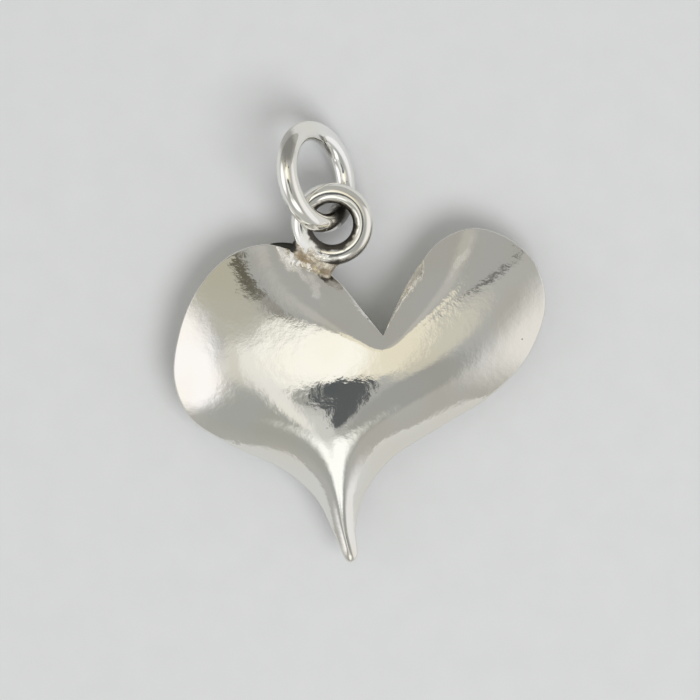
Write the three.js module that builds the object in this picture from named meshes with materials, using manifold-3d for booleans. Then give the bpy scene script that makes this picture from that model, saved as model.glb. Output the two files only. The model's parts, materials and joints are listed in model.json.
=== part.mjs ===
// A small silver heart charm: a hollow heart of two pressed halves, a soldered ring on the shoulder of its
// left lobe, and a loose open ring to hang it by. Millimetres, +Z up. The charm lies on its flat back with
// its domed front upwards; +Y runs from the tail's tip to the rings, +X to the right of the front.
import * as THREE from 'three';
import { mergeVertices } from 'three/addons/utils/BufferGeometryUtils.js';
import Module from 'manifold-3d';

const wasm = await Module();
wasm.setup();

// Driving dimensions of the heart
const heartWidth = 18.6; // across both lobes
const heartLength = 16.7; // from the top of the higher lobe to the tip of the tail
const frontRise = 2.2; // the front's crown above the edge of its sheet
const seamHeight = 1.7; // the middle of the solder seam above the flat back
const sheet = 0.5; // thickness of the silver sheet
const edgeLip = 0.12; // height of the square sheet edge on each side of the seam
const seamFilm = 0.1; // thickness of the solder between the two halves
const frontBend = 3; // how far in from the edge the front keeps rising
const frontFullness = 2.04; // 1 is a straight slope up from the edge, more is fuller
const notchReach = 4.6; // up to about this far from the notch, both halves stand more upright on their edge
const notchEase = 0.97; // how much more: 0 is as elsewhere, 1 is a wall
const notchSlope = 0.75; // the front's steepest slope at the notch, and the rest of its height there is a wall
const notchSlopeReach = 10; // at this distance from the notch, the steepest slope is e times as much
const backBend = 1.5; // how far in from the edge the back keeps falling, flat from there on
const backFullness = 2;
const ventBore = 0.8; // lets the gas out while the seam is soldered

// Driving dimensions of the rings
const wire = 1.02; // diameter of the round wire of both rings
const bailRoom = 1.06; // the soldered ring's hole is this much wider than the wire that runs through it
const bailClear = 0.04; // gap between the soldered ring and the heart's edge, bridged by solder
const jumpHole = 3.66; // inner diameter of the loose ring
const sawCut = 0.1; // gap of the loose ring's butt joint
const sawCutTurn = THREE.MathUtils.degToRad(-122); // the joint's place round the ring, from its long axis
const jumpAbove = 0.291; // the loose ring's middle above the soldered ring's middle
const jumpPass = 0.14; // how far past the soldered ring's middle the loose wire runs through it
const jumpLean = THREE.MathUtils.degToRad(53.5); // the loose ring leans this far up from lying flat
const jumpAxisTurn = THREE.MathUtils.degToRad(103); // its long axis, seen from the front, from +X
const jumpReachTurn = THREE.MathUtils.degToRad(108.8); // from the soldered ring's middle to its own

// Driving dimensions of the solder under the soldered ring
const solderLong = 2.6;
const solderWide = 1.3;
const solderBelow = 0.5; // how far it reaches below the seam
const solderAbove = 0.3; // how far it reaches above the middle of the ring's wire
const solderGap = 0.05; // clearance that the solder keeps to the ring and the sheet it holds

// The outline, seen from the front: a smooth curve through these points and back to the first one, which is
// fitted to the width and length above. It goes round in six stretches, each up to the start of the next.
const stretches = {
  leftShoulder: [
    [1.65, 0.7], [0.65, 1.95], [-0.6, 3.45], [-2.25, 4.7], [-4.2, 5.28], [-6.05, 4.7], [-7.65, 3.0],
  ],
  leftSide: [[-8.55, 0.85], [-8.8, -1.5], [-8.0, -3.4], [-5.9, -4.78]],
  leftOfTail: [[-3.35, -5.95], [-1.7, -7.4], [-0.8, -9.15], [-0.22, -10.45]],
  rightOfTail: [[0.05, -10.6], [0.35, -10.3], [0.3, -8.85], [0.75, -7.15]],
  rightSide: [[2.05, -5.45], [4.5, -3.85], [7.1, -2.22], [8.9, -0.3], [9.78, 2.25]],
  rightShoulder: [[9.3, 4.25], [7.9, 5.58], [6.2, 6.08], [4.55, 5.48], [3.2, 3.88], [2.35, 2.3]],
};
const bailSeat = 0.37; // where the soldered ring stands, as a share of the left shoulder's stretch

// The three arms of the heart, from its middle to the left lobe, the tail and the right lobe
const middle = [1.5, -2.4];
const arms = [
  [[-1.6, -0.9], [-4.6, 0.9]],
  [[-1.5, -5.6], [0.02, -10.1]],
  [[4.6, 0.0], [7.3, 3.2]],
];

// The front falls away from its crown towards the lobes, and hardly at all towards the tail
const crown = [0.1, -2.07];
const fallAcross = 9.8; // at this distance to the side of the crown, the rise has dropped to 1/e of itself
const fallUp = 7.1; // the same towards the lobes
const fallDown = 11.2; // and towards the tail
const fallTwist = 0.004; // ties the fall across to the fall up, per square millimetre

// How finely the shapes are divided
const curvePieces = 40; // between two knots, where the outline's length is measured
const insetPieces = 12; // between two knots, where the distance to the outline is worked out
const sixthSteps = 16; // points along each of the six stretches of the outline
const shapedRows = [0, 0.03, 0.08, 0.15, 0.23, 0.33, 0.45, 0.6, 0.78, 1]; // from the outline in to the arms
const wireSides = 12;
const ringSteps = 44; // straight pieces round a ring
const ventSides = 24;
const moundSides = 20;
const moundRows = 14;

function drawnCurve(knots) {
  const points = knots.map(([x, y]) => new THREE.Vector3(x, y, 0));
  const curve = new THREE.CatmullRomCurve3(points, false, 'centripetal');
  curve.arcLengthDivisions = (knots.length - 1) * curvePieces;
  return curve;
}

// The drawn outline is stretched to the heart's width and length about its own middle
const outlineKnots = [...Object.values(stretches).flat(), stretches.leftShoulder[0]];
const knotSpans = outlineKnots.length - 1;
const drawnBox = new THREE.Box3().setFromPoints(drawnCurve(outlineKnots).getPoints(knotSpans * curvePieces));
const drawnSize = drawnBox.getSize(new THREE.Vector3());
const drawnMiddle = drawnBox.getCenter(new THREE.Vector3());
function fitted([x, y]) {
  return [
    drawnMiddle.x + (x - drawnMiddle.x) * heartWidth / drawnSize.x,
    drawnMiddle.y + (y - drawnMiddle.y) * heartLength / drawnSize.y,
  ];
}
const outline = drawnCurve(outlineKnots.map(fitted));

// Where each stretch starts and the last one ends, as shares of the outline's whole length
const lengths = outline.getLengths(knotSpans * curvePieces);
const partings = [0];
let knotsSoFar = 0;
for (const knots of Object.values(stretches)) {
  knotsSoFar += knots.length;
  partings.push(lengths[knotsSoFar * curvePieces] / lengths[lengths.length - 1]);
}

// The outline in short straight pieces. Near the notch a piece holds the surface down less.
const notch = outline.getPoint(0);
const holdAt = (fromNotch) => 1 - notchEase * Math.exp(-((fromNotch / notchReach) ** 2));
const straightPieces = [];
const ends = outline.getPoints(knotSpans * insetPieces);
for (let i = 0; i < ends.length - 1; i++) {
  const length = ends[i].distanceTo(ends[i + 1]);
  const along = ends[i + 1].clone().sub(ends[i]).divideScalar(length);
  const fromNotch = ends[i].clone().lerp(ends[i + 1], 0.5).distanceTo(notch);
  straightPieces.push({ start: ends[i], along, length, hold: holdAt(fromNotch) });
}

// Smooth distance from the outline: near the edge it is the plain distance, and inside, where several
// stretches of the outline are about as near, it blends them. Each straight piece of the outline adds the
// integral of one over the distance cubed, which is exact for a straight piece.
const leastOff = 1e-5;
function inset(x, y) {
  let sum = 0;
  for (const { start, along, length, hold } of straightPieces) {
    const dx = start.x - x;
    const dy = start.y - y;
    const from = dx * along.x + dy * along.y;
    const to = from + length;
    const off = Math.max(Math.abs(dx * along.y - dy * along.x), leastOff);
    sum += hold * (to / Math.hypot(to, off) - from / Math.hypot(from, off)) / (off * off);
  }
  return Math.sqrt(2 / sum);
}

function swell(distance, bend, fullness) {
  return 1 - Math.pow(1 - Math.min(distance / bend, 1), fullness);
}

const frontEdge = seamHeight + seamFilm / 2;
const backEdge = seamHeight - seamFilm / 2;
const [crownX, crownY] = fitted(crown);
function frontRiseAt(x, y) {
  const across = x - crownX;
  const up = y - crownY;
  const fallAlong = up > 0 ? fallUp : fallDown;
  return frontRise * Math.exp(-((across / fallAcross) ** 2 + (up / fallAlong) ** 2 - fallTwist * across * up));
}

function frontForm(x, y, distance) {
  return frontEdge + edgeLip + frontRiseAt(x, y) * swell(distance, frontBend, frontFullness);
}

// The front's outside is never steeper than a limit, which counts only beside the notch. From the place where
// the form gets steeper, it runs on straight to the edge and ends there in a wall.
function frontTop(x, y, distance) {
  const fromNotch = Math.hypot(x - notch.x, y - notch.y);
  const steepest = notchSlope * Math.exp((fromNotch / notchSlopeReach) ** 2) * Math.sqrt(holdAt(fromNotch));
  const slopeAtEdge = frontRiseAt(x, y) * frontFullness / frontBend;
  const left = Math.min(Math.pow(steepest / slopeAtEdge, 1 / (frontFullness - 1)), 1);
  const straightFrom = frontBend * (1 - left);
  const short = Math.max(straightFrom - distance, 0);
  return frontForm(x, y, Math.max(distance, straightFrom)) - steepest * short;
}

function backBottom(x, y, distance) {
  return (backEdge - edgeLip) * (1 - swell(distance, backBend, backFullness));
}

// The upright thickness of the sheet where it lies at a slope, which is measured across a short step
const slopeStep = 0.01;
function uprightSheet(surface, x, y) {
  const at = (px, py) => surface(px, py, inset(px, py));
  const slopeX = (at(x + slopeStep, y) - at(x - slopeStep, y)) / (2 * slopeStep);
  const slopeY = (at(x, y + slopeStep) - at(x, y - slopeStep)) / (2 * slopeStep);
  return sheet * Math.hypot(1, slopeX, slopeY);
}

// A grid over the heart: rows of points step in from the outline to the three arms
function heartGrid(rows) {
  const rim = [];
  const inner = [];
  const armCurves = arms.map(([bend, end]) => {
    const [from, over, to] = [middle, bend, end].map((point) => new THREE.Vector2(...fitted(point)));
    return new THREE.QuadraticBezierCurve(from, over, to);
  });
  for (let part = 0; part < partings.length - 1; part++) {
    for (let step = 0; step < sixthSteps; step++) {
      const share = step / sixthSteps;
      rim.push(outline.getPointAt(partings[part] + (partings[part + 1] - partings[part]) * share));
      inner.push(armCurves[Math.floor(part / 2)].getPoint(part % 2 ? 1 - share : share));
    }
  }
  const points = rows.flatMap((inward) => rim.map((p, i) => [
    p.x + (inner[i].x - p.x) * inward,
    p.y + (inner[i].y - p.y) * inward,
  ]));
  const distances = points.map(([x, y], i) => (i < rim.length ? 0 : inset(x, y)));
  return { points, distances, across: rim.length };
}
const shapedGrid = heartGrid(shapedRows);
const flatGrid = heartGrid([0, 1]);

// A closed solid over the heart's outline, between two surfaces. A surface is a height, which is flat, or a
// function of the place and its distance from the outline. Each patch is halved along its shorter diagonal.
function column(bottom, top) {
  const positions = [];
  const faces = [];
  function layer(surface, turned) {
    const shaped = typeof surface === 'function';
    const { points, distances, across } = shaped ? shapedGrid : flatGrid;
    const first = positions.length / 3;
    points.forEach(([x, y], i) => positions.push(x, y, shaped ? surface(x, y, distances[i]) : surface));
    const apart = (p, q) => Math.hypot(points[p][0] - points[q][0], points[p][1] - points[q][1]);
    for (let a = 0; a < points.length - across; a++) {
      const b = (a + 1) % across ? a + 1 : a + 1 - across;
      const c = b + across;
      const d = a + across;
      const halves = apart(a, c) < apart(b, d) ? [[a, b, c], [a, c, d]] : [[a, b, d], [b, c, d]];
      for (const [p, q, r] of halves) {
        faces.push(turned ? [first + q, first + p, first + r] : [first + p, first + q, first + r]);
      }
    }
    return { first, across };
  }
  const upper = layer(top, false);
  const lower = layer(bottom, true);
  for (let i = 0; i < upper.across; i++) {
    const next = (i + 1) % upper.across;
    faces.push([lower.first + i, lower.first + next, upper.first + next]);
    faces.push([lower.first + i, upper.first + next, upper.first + i]);
  }
  const geometry = new THREE.BufferGeometry();
  geometry.setAttribute('position', new THREE.Float32BufferAttribute(positions, 3));
  geometry.setIndex(faces.flat());
  return geometry;
}

// three.js geometry to a solid for cutting and joining, and back
const weldReach = 1e-4;
function solid(geometry) {
  const bare = geometry.clone();
  bare.deleteAttribute('normal');
  bare.deleteAttribute('uv');
  const merged = mergeVertices(bare, weldReach);
  const index = merged.index.array;
  const kept = [];
  for (let i = 0; i < index.length; i += 3) {
    if (index[i] !== index[i + 1] && index[i + 1] !== index[i + 2] && index[i + 2] !== index[i]) {
      kept.push(index[i], index[i + 1], index[i + 2]);
    }
  }
  const vertProperties = new Float32Array(merged.attributes.position.array);
  return new wasm.Manifold(new wasm.Mesh({ numProp: 3, vertProperties, triVerts: new Uint32Array(kept) }));
}

function geometryOf(manifold) {
  const mesh = manifold.getMesh();
  const geometry = new THREE.BufferGeometry();
  geometry.setAttribute('position', new THREE.Float32BufferAttribute(mesh.vertProperties, 3));
  geometry.setIndex([...mesh.triVerts]);
  geometry.computeVertexNormals();
  return geometry;
}

// Each hollow follows the shell's form, one sheet inside it, and runs on out of the shell's open side
const farBelow = -20;
const farAbove = 20;
const frontInside = (x, y, distance) => frontForm(x, y, distance) - uprightSheet(frontForm, x, y);
const backInside = (x, y, distance) => backBottom(x, y, distance) + uprightSheet(backBottom, x, y);
const frontHollow = solid(column(farBelow, frontInside));

function frontShell() {
  return geometryOf(solid(column(frontEdge, frontTop)).subtract(frontHollow));
}

function backShell() {
  const vent = new THREE.CylinderGeometry(ventBore / 2, ventBore / 2, 4 * sheet, ventSides);
  vent.rotateX(Math.PI / 2);
  vent.translate(...fitted(middle), 0);
  const shell = solid(column(backBottom, backEdge)).subtract(solid(column(backInside, farAbove)));
  return geometryOf(shell.subtract(solid(vent)));
}

function seamSolder() {
  return geometryOf(solid(column(backEdge, frontEdge)).subtract(frontHollow));
}

class Arc extends THREE.Curve {
  constructor(radius, from, to) {
    super();
    Object.assign(this, { radius, from, to });
  }

  getPoint(t, target = new THREE.Vector3()) {
    const angle = this.from + (this.to - this.from) * t;
    return target.set(this.radius * Math.cos(angle), this.radius * Math.sin(angle), 0);
  }
}

const bailRadius = (bailRoom + 2 * wire) / 2;
const jumpRadius = (jumpHole + wire) / 2;
const jumpHeight = wire / 2 + jumpRadius * Math.sin(jumpLean); // its lower side just touches the surface
const bailHeight = jumpHeight - jumpAbove;

function closedRing(radius, thickness) {
  return new THREE.TorusGeometry(radius, thickness / 2, wireSides, ringSteps);
}

// An open ring: the wire runs once round from one face of the saw cut to the other
function openRing(radius, thickness, cutTurn, cut) {
  const halfCut = cut / 2 / radius;
  const section = new THREE.Shape().absarc(0, 0, thickness / 2, 0, 2 * Math.PI, false);
  const extrudePath = new Arc(radius, cutTurn + halfCut, cutTurn + 2 * Math.PI - halfCut);
  return new THREE.ExtrudeGeometry(section, { steps: ringSteps, curveSegments: wireSides / 2, extrudePath });
}

// The soldered ring stands against the shoulder. Its wire is round, so the further it is above or below the
// square edge of the seam, the closer its middle comes to that edge.
const offEdge = Math.max(bailHeight - frontEdge - edgeLip, backEdge - edgeLip - bailHeight, 0);
const bailOut = bailRadius + Math.sqrt(Math.max((wire / 2 + bailClear) ** 2 - offEdge ** 2, 0));
const seatAt = outline.getPointAt(partings[1] * bailSeat);
const seatAlong = outline.getTangentAt(partings[1] * bailSeat);
const seatOut = new THREE.Vector3(seatAlong.y, -seatAlong.x, 0);
const bailAt = seatAt.clone().addScaledVector(seatOut, bailOut).setZ(bailHeight);

// The loose ring runs through it, leaning
const jumpAt = new THREE.Vector3(Math.cos(jumpReachTurn), Math.sin(jumpReachTurn), 0)
  .multiplyScalar(jumpRadius + jumpPass).add(bailAt).setZ(jumpHeight);

// The solder is a mound in the corner between the ring and the shoulder, cut clear of both
function bailSolder() {
  const low = seamHeight - solderBelow;
  const high = bailHeight + solderAbove;
  const mound = new THREE.SphereGeometry(0.5, moundSides, moundRows);
  mound.scale(solderLong, solderWide, high - low);
  mound.rotateZ(Math.atan2(seatAlong.y, seatAlong.x));
  mound.translate(seatAt.x, seatAt.y, (high + low) / 2);
  const clearRing = closedRing(bailRadius, wire + 2 * solderGap).translate(bailAt.x, bailAt.y, bailHeight);
  const heart = solid(column(backBottom, frontTop));
  const out = seatOut.clone().multiplyScalar(solderGap);
  let rest = solid(mound).subtract(solid(clearRing));
  for (const step of [[0, 0, solderGap], [out.x, out.y, 0], [out.x, out.y, solderGap]]) {
    rest = rest.subtract(heart.translate(step));
  }
  return geometryOf(rest);
}

function silver(color, roughness) {
  return new THREE.MeshStandardMaterial({ color, roughness, metalness: 1 });
}

function piece(name, geometry, material) {
  const mesh = new THREE.Mesh(geometry, material);
  mesh.name = name;
  return mesh;
}

const charm = new THREE.Group();
charm.add(piece('front_shell', frontShell(), silver(0xd8d5cc, 0.1)));
charm.add(piece('back_shell', backShell(), silver(0xcfccc4, 0.16)));
charm.add(piece('seam_solder', seamSolder(), silver(0xc2bfb6, 0.3)));

const bailRing = piece('bail_ring', closedRing(bailRadius, wire), silver(0xdedcd6, 0.08));
bailRing.position.copy(bailAt);
charm.add(bailRing);
charm.add(piece('bail_solder', bailSolder(), silver(0xb3a68f, 0.45)));

const jumpRing = piece('jump_ring', openRing(jumpRadius, wire, sawCutTurn, sawCut), silver(0xdedcd6, 0.08));
jumpRing.rotation.set(jumpLean, 0, jumpAxisTurn, 'ZYX');
jumpRing.position.copy(jumpAt);
charm.add(jumpRing);

// The origin is under the middle of the whole charm, on the surface that it lies on
charm.updateMatrixWorld(true);
const whole = new THREE.Box3().setFromObject(charm, true);
charm.position.set(-(whole.min.x + whole.max.x) / 2, -(whole.min.y + whole.max.y) / 2, 0);

export default charm;
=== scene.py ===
# %% [markdown]
# # A heart charm in polished silver
# The charm is a hollow heart of two pressed halves, with a soldered ring on one shoulder and a loose ring
# through it. Its sizes and places come from a CAD model, which is loaded first and stays as it is. Here the
# pieces get fine curved surfaces, worked out with numpy, and finishes made of shader nodes.

# %% Load the frame
import json
import math

import bmesh
import bpy
import numpy as np
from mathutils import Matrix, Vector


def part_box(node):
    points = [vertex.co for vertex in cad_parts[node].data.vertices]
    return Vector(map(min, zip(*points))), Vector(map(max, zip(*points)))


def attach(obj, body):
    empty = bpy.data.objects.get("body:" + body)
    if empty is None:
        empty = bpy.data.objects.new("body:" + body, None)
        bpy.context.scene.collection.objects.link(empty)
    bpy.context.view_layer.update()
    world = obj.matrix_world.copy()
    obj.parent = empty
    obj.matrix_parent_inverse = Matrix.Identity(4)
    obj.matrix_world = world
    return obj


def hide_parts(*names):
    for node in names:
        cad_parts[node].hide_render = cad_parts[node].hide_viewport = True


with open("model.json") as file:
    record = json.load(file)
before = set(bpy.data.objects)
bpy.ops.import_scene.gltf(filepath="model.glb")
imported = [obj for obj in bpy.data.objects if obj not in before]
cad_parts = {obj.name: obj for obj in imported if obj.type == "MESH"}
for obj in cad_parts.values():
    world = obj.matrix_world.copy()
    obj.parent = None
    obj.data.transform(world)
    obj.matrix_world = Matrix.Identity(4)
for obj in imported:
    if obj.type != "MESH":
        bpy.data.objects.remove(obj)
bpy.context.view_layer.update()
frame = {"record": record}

METRES = 0.001

# %% [markdown]
# ## Sizes read from the frame
# Shapes are worked out in millimetres, in the frame that the heart was drawn in, and moved to their place at
# the very end. The boxes of the CAD nodes say how wide, long and high everything is, so only what a box can't
# tell is written down as a value.

# %% Boxes of the CAD nodes in millimetres
def node_box(name):
    """Lowest and highest corner of a CAD node, in millimetres."""
    low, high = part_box(name)
    return np.array(low) / METRES, np.array(high) / METRES


front_low, front_high = node_box("front_shell")
seam_low, seam_high = node_box("seam_solder")
ring_low, ring_high = node_box("bail_ring")
loose_low, loose_high = node_box("jump_ring")

back_edge = seam_low[2]
front_edge = seam_high[2]
edge_lip = 0.12
front_rise = front_high[2] - front_edge - edge_lip
sheet = 0.5
print("front rises", front_rise.round(3), "mm above its edge")
print("seam from", back_edge.round(3), "to", front_edge.round(3), "mm above the floor")

# %% [markdown]
# ## The heart's outline
# A silversmith draws a heart freehand, so its outline is a smooth curve through a few chosen points. A
# Catmull-Rom curve passes through every point, and its centripetal kind makes no loops at sharp turns such as
# the tail's tip. The curve is walked by its length, so that points on it can be spaced evenly.

# %% Outline
stretches = {
    "left shoulder": [
        (1.65, 0.7), (0.65, 1.95), (-0.6, 3.45), (-2.25, 4.7), (-4.2, 5.28), (-6.05, 4.7), (-7.65, 3.0),
    ],
    "left side": [(-8.55, 0.85), (-8.8, -1.5), (-8.0, -3.4), (-5.9, -4.78)],
    "left of tail": [(-3.35, -5.95), (-1.7, -7.4), (-0.8, -9.15), (-0.22, -10.45)],
    "right of tail": [(0.05, -10.6), (0.35, -10.3), (0.3, -8.85), (0.75, -7.15)],
    "right side": [(2.05, -5.45), (4.5, -3.85), (7.1, -2.22), (8.9, -0.3), (9.78, 2.25)],
    "right shoulder": [(9.3, 4.25), (7.9, 5.58), (6.2, 6.08), (4.55, 5.48), (3.2, 3.88), (2.35, 2.3)],
}
outline_knots = np.array([knot for knots in stretches.values() for knot in knots] + [(1.65, 0.7)])


def smooth_curve(knots, pieces):
    """Centripetal Catmull-Rom curve. Between two knots it is a cubic. Its slope at a knot is the mean of the
    slopes to the knots before and after it, weighted by the square roots of their distances."""
    ends = np.vstack([2 * knots[0] - knots[1], knots, 2 * knots[-1] - knots[-2]])
    p0, p1, p2, p3 = (ends[i:len(ends) - 3 + i, None] for i in range(4))

    def root_distance(a, b):
        return np.sqrt(np.linalg.norm(b - a, axis=2, keepdims=True))

    before, between, after = root_distance(p0, p1), root_distance(p1, p2), root_distance(p2, p3)
    start = ((p1 - p0) / before - (p2 - p0) / (before + between) + (p2 - p1) / between) * between
    stop = ((p2 - p1) / between - (p3 - p1) / (between + after) + (p3 - p2) / after) * between
    t = (np.arange(pieces) / pieces)[None, :, None]
    third = 2 * p1 - 2 * p2 + start + stop
    second = 3 * p2 - 3 * p1 - 2 * start - stop
    cubic = third * t**3 + second * t**2 + start * t + p1
    return np.vstack([cubic.reshape(-1, 2), knots[-1]])


# %% The outline, fitted to the heart's box
walk_pieces = 80
drawn = smooth_curve(outline_knots, walk_pieces)
drawn_middle = (drawn.min(0) + drawn.max(0)) / 2
heart_size = (front_high - front_low)[:2]
stretch = heart_size / np.ptp(drawn, axis=0)
shift = (front_low + front_high)[:2] / 2 - drawn_middle


def fitted(points):
    """Drawn points, stretched about the middle of the outline to the heart's width and length."""
    return drawn_middle + (np.asarray(points, float) - drawn_middle) * stretch


walk = smooth_curve(fitted(outline_knots), walk_pieces)
walked = np.concatenate([[0], np.cumsum(np.linalg.norm(np.diff(walk, axis=0), axis=1))])
stretch_ends = np.concatenate([[0], np.cumsum([len(knots) for knots in stretches.values()])]) * walk_pieces
stretch_starts = walked[stretch_ends]


def outline_at(distance):
    """Points at these distances along the outline, from the notch anticlockwise."""
    distance = np.mod(distance, walked[-1])
    return np.stack([np.interp(distance, walked, walk[:, axis]) for axis in (0, 1)], axis=-1)


print("outline", round(walked[-1], 2), "mm round; moved by", shift.round(4))

# %% [markdown]
# ## Distance from the edge
# A pressed heart rises from its edge and rounds off along soft ridges. The plain distance to the nearest edge
# would give knife-sharp ridges. This one is smooth: each short piece of the outline adds the integral of one
# over the distance cubed, and the sum is turned back into a distance. Near the notch the pieces count for
# less, so both halves stand more upright there.

# %% Smooth distance from the outline
notch_reach = 4.6
notch_ease = 0.97
inset_pieces = 16
least_off = 1e-5
inset_ends = smooth_curve(fitted(outline_knots), inset_pieces)
piece_starts = inset_ends[:-1]
piece_spans = np.diff(inset_ends, axis=0)
piece_lengths = np.linalg.norm(piece_spans, axis=1)
piece_ways = piece_spans / piece_lengths[:, None]
from_notch = np.linalg.norm(piece_starts + piece_spans / 2 - inset_ends[0], axis=1)


def hold_at(away):
    """How much a piece of outline holds the surface down, at this distance from the notch: one minus the
    ease times e to the minus square of the distance over the reach."""
    return 1 - notch_ease * np.exp(-((away / notch_reach) ** 2))


piece_holds = hold_at(from_notch)


def inset(x, y):
    """Square root of two over the sum, over the outline's straight pieces, of hold times the integral of one
    over the distance cubed, which is (to / far end - from / near end) / off squared."""
    total = np.zeros_like(x)
    for start, way, length, hold in zip(piece_starts, piece_ways, piece_lengths, piece_holds):
        dx, dy = start[0] - x, start[1] - y
        near = dx * way[0] + dy * way[1]
        far = near + length
        off = np.maximum(np.abs(dx * way[1] - dy * way[0]), least_off)
        total += hold * (far / np.hypot(far, off) - near / np.hypot(near, off)) / off**2
    return np.sqrt(2 / total)


print(len(piece_holds), "pieces of outline hold it down, each by", piece_holds.min().round(2), "or more")

# %% [markdown]
# ## The two surfaces of the heart
# The front swells up from its edge and falls away from its crown towards the lobes. Beside the notch the
# lobes face each other with an upright wall, so the slope is limited there and the wall makes up the height.
# The back swells down to a flat middle, on which the charm lies. A polished edge is never sharp, so both get
# a small round. Such forms could be sculpted, but a formula also tells the solder how high the shell is.

# %% Height of the front
front_bend, front_fullness = 3.0, 2.04
edge_round = 0.05
crown_x, crown_y = fitted((0.1, -2.07))
fall_across, fall_up, fall_down, fall_twist = 9.8, 7.1, 11.2, 0.004
notch_x, notch_y = inset_ends[0]
notch_slope, notch_slope_reach = 0.75, 10.0


def swell(distance, bend, fullness):
    """From 0 at the edge to 1 at the bend: one minus a power of what is left of the way."""
    return 1 - (1 - np.minimum(distance / bend, 1)) ** fullness


def rounding(distance):
    """How much a quarter round takes off the edge: its radius minus the height of its circle."""
    left = np.maximum(edge_round - distance, 0)
    return edge_round - np.sqrt(edge_round**2 - left**2)


def rise_at(x, y):
    """The rise times e to the minus fall, a tilted quadratic in the distances from the crown."""
    across, up = x - crown_x, y - crown_y
    along = np.where(up > 0, fall_up, fall_down)
    return front_rise * np.exp(-((across / fall_across) ** 2 + (up / along) ** 2 - fall_twist * across * up))


def front_form(x, y, distance):
    """Edge and lip, plus the rise times the swell."""
    return front_edge + edge_lip + rise_at(x, y) * swell(distance, front_bend, front_fullness)


def front_height(x, y, distance):
    """The form, but beside the notch never steeper than a limit, which grows as e to the square of the
    distance from the notch. From where the form gets steeper, it runs on straight and ends in a wall."""
    away = np.hypot(x - notch_x, y - notch_y)
    steepest = notch_slope * np.exp((away / notch_slope_reach) ** 2) * np.sqrt(hold_at(away))
    slope_at_edge = rise_at(x, y) * front_fullness / front_bend
    left = np.minimum((steepest / slope_at_edge) ** (1 / (front_fullness - 1)), 1)
    straight_from = front_bend * (1 - left)
    short = np.maximum(straight_from - distance, 0)
    return front_form(x, y, np.maximum(distance, straight_from)) - steepest * short


crown = np.array([crown_x]), np.array([crown_y])
print("crown", front_height(*crown, inset(*crown))[0].round(2), "mm above the floor")

# %% Depth of the back and thickness of the sheet
back_bend, back_fullness = 1.5, 2.0
slope_step = 0.01


def back_height(x, y, distance):
    """The depth of the back at its edge times what the swell leaves of it."""
    return (back_edge - edge_lip) * (1 - swell(distance, back_bend, back_fullness))


def upright_sheet(height, x, y):
    """The sheet's thickness times the square root of one plus the slope squared. The slope is the difference
    of the heights a step to either side, over two steps."""
    def difference(step_x, step_y):
        ahead, behind = (x + step_x, y + step_y), (x - step_x, y - step_y)
        return height(*ahead, inset(*ahead)) - height(*behind, inset(*behind))

    slope_x = difference(slope_step, 0) / (2 * slope_step)
    slope_y = difference(0, slope_step) / (2 * slope_step)
    return sheet * np.sqrt(1 + slope_x**2 + slope_y**2)


# %% [markdown]
# ## A grid that fits a heart
# Square or round grids leave ragged edges on a heart. This grid has its columns run from the outline in to
# three arms, one in each lobe and one in the tail, as veins run in a leaf. Both sides of an arm share its
# points, so the surface closes along it. For the back, which has a vent hole, the arms start from a circle.

# %% Arms of the grid
middle = fitted((1.5, -2.4))
arm_ends = fitted([(-4.6, 0.9), (0.02, -10.1), (7.3, 3.2)])
arm_straights = np.array([[3.0], [4.5], [3.6]])
arm_columns = (150, 84, 150)
gathering = 1.6

beyond_ends = arm_ends - outline_at(stretch_starts[[1, 3, 5]])
arm_bends = arm_ends + arm_straights * beyond_ends / np.linalg.norm(beyond_ends, axis=1, keepdims=True)


def arm_points(arm, share, hole=0.0, side=0):
    """Quadratic Bezier curve from the middle over the bend to the end. The bend lies straight behind the end,
    so that the arm meets its last column in line. Round a hole the points gather, and those nearer to the
    middle than its radius go on to its edge instead, spread from the arm to halfway to the next one."""
    t = (share**gathering if hole else share)[:, None]
    curve = (1 - t) ** 2 * middle + 2 * t * (1 - t) * arm_bends[arm] + t**2 * arm_ends[arm]
    if not hole:
        return curve, np.zeros(len(curve), bool)
    away = np.linalg.norm(curve - middle, axis=1)
    in_hole = away < hole
    angles = np.unwrap(np.arctan2(*(arm_bends - middle).T[::-1]))
    around = [angles[2] - 2 * np.pi, *angles, angles[0] + 2 * np.pi]
    between = [(before + after) / 2 for before, after in zip(around, around[1:])]
    lean = np.clip(share / share[in_hole].max(), 0, 1)
    turn = between[arm + side] + (angles[arm] - between[arm + side]) * lean
    circle = middle + hole * np.stack([np.cos(turn), np.sin(turn)], axis=1)
    return np.where(in_hole[:, None], circle, curve), in_hole


# %% Columns of the grid
def heart_columns(hole=0.0):
    """The outer and inner end of each column, and whether the inner one is on the hole's edge."""
    outer, inner, open_ones = [], [], []
    for part in range(len(stretches)):
        arm, side = divmod(part, 2)
        share = np.arange(arm_columns[arm]) / arm_columns[arm]
        begin, end = stretch_starts[part], stretch_starts[part + 1]
        outer.append(outline_at(begin + (end - begin) * share))
        points, in_hole = arm_points(arm, 1 - share if side else share, hole, side)
        inner.append(points)
        open_ones.append(in_hole)
    return np.vstack(outer), np.vstack(inner), np.concatenate(open_ones)


outer_ends, inner_ends, _ = heart_columns()

# %% Rows of the grid
outside_row_count, edge_crowding = 100, 1.3


def along_columns(outer, inner, inward):
    """Points on the columns: outer end plus a share of the way to the inner end. One share for each row, or
    one for each row and column."""
    inward = np.asarray(inward, float)
    inward = inward[:, None] if inward.ndim == 1 else inward
    return outer[None] + (inner - outer)[None] * inward[..., None]


outside_rows = np.linspace(1, 0, outside_row_count) ** edge_crowding
cells = along_columns(outer_ends, inner_ends, outside_rows)
across_cells = np.roll(cells, -1, axis=1) - cells
folded = np.cross(across_cells[:-1], np.diff(cells, axis=0)) > 0
print(len(outer_ends), "columns,", folded.sum(), "folded cells")


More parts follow.
